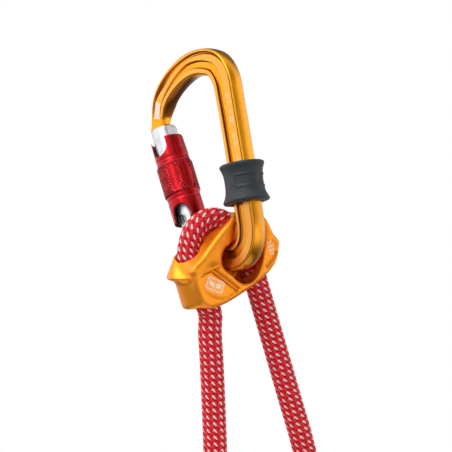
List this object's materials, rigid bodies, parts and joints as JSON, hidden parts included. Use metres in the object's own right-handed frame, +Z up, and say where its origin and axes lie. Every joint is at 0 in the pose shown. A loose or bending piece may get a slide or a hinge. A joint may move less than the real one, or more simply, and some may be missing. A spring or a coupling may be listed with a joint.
{
  "type": "rope grab",
  "caption": "Rope adjuster hung on a locking carabiner: work-positioning rope runs up one channel, over the carabiner's arm and down the other, gripping under load.",
  "frame": {"origin": "seat at the inner top of the carabiner's arch, where an anchor bears when the part hangs", "axes": "+Z up as the part hangs, +X in the carabiner's plane from its gate to its spine, +Y normal to that plane"},
  "size_m": [0.0753, 0.0914, 0.4133],
  "materials": {
    "carabiner_orange": "satin golden-orange anodising",
    "adjuster_orange": "satin golden-orange anodising over a forged skin",
    "gate_silver": "polished, clear anodised",
    "sleeve_red": "deep red anodising, knurled band",
    "steel": "bright, lightly oiled",
    "keeper_rubber": "matte moulded rubber",
    "liner_black": "matte moulded plastic",
    "rope_weave": "braided polyamide sheath, red with white flecks",
    "cover_black": "smooth moulded cover",
    "thimble_plastic": "matte moulded plastic",
    "strap_webbing": "woven tape",
    "rope_cap": "heat-sealed rope end"
  },
  "bodies": {
    "carabiner": {"carabiner_frame": "carabiner_orange", "hinge_rivet": "steel"},
    "gate": {"gate_lever": "gate_silver", "gate_plunger": "steel", "gate_spring": "steel", "plunger_pin": "steel"},
    "sleeve_core": {"sleeve_liner": "liner_black", "sleeve_spring": "steel"},
    "sleeve": {"locking_sleeve": "sleeve_red"},
    "keeper": {"spine_keeper": "keeper_rubber"},
    "adjuster": {"adjuster_body": "adjuster_orange", "rope_bight": "rope_weave", "load_strand": "rope_weave", "tail_strand": "rope_weave", "load_eye": "rope_weave", "eye_sleeve": "cover_black", "eye_thimble": "thimble_plastic", "hank_tie": "strap_webbing", "tail_stopper": "cover_black", "tail_end_cap": "rope_cap"}
  },
  "joints": [
    {"name": "gate_hinge", "type": "hinge", "parent": "carabiner", "child": "gate", "pos_m": [-0.0106, 0, -0.0742], "axis": [0, 1, 0], "range_deg": [0, 28], "stiffness_Nm_per_rad": 0.12, "springref_deg": -20.05},
    {"name": "sleeve_twist", "type": "hinge", "parent": "gate", "child": "sleeve_core", "pos_m": [-0.0106, 0, -0.0742], "axis": [-0.3955, 0, 0.9184], "range_deg": [0, 90], "stiffness_Nm_per_rad": 0.02, "springref_deg": -28.65},
    {"name": "sleeve_lift", "type": "slide", "parent": "sleeve_core", "child": "sleeve", "axis": [-0.3955, 0, 0.9184], "range_m": [0, 0.005], "stiffness_N_per_m": 300, "springref_m": -0.003},
    {"name": "keeper_slide", "type": "slide", "parent": "carabiner", "child": "keeper", "axis": [-0.2243, 0, 0.9745], "range_m": [0, 0.028]},
    {"name": "adjuster_swing", "type": "hinge", "parent": "carabiner", "child": "adjuster", "pos_m": [0.006, 0, -0.085], "axis": [1, 0, 0], "range_deg": [-9, 5]}
  ]
}
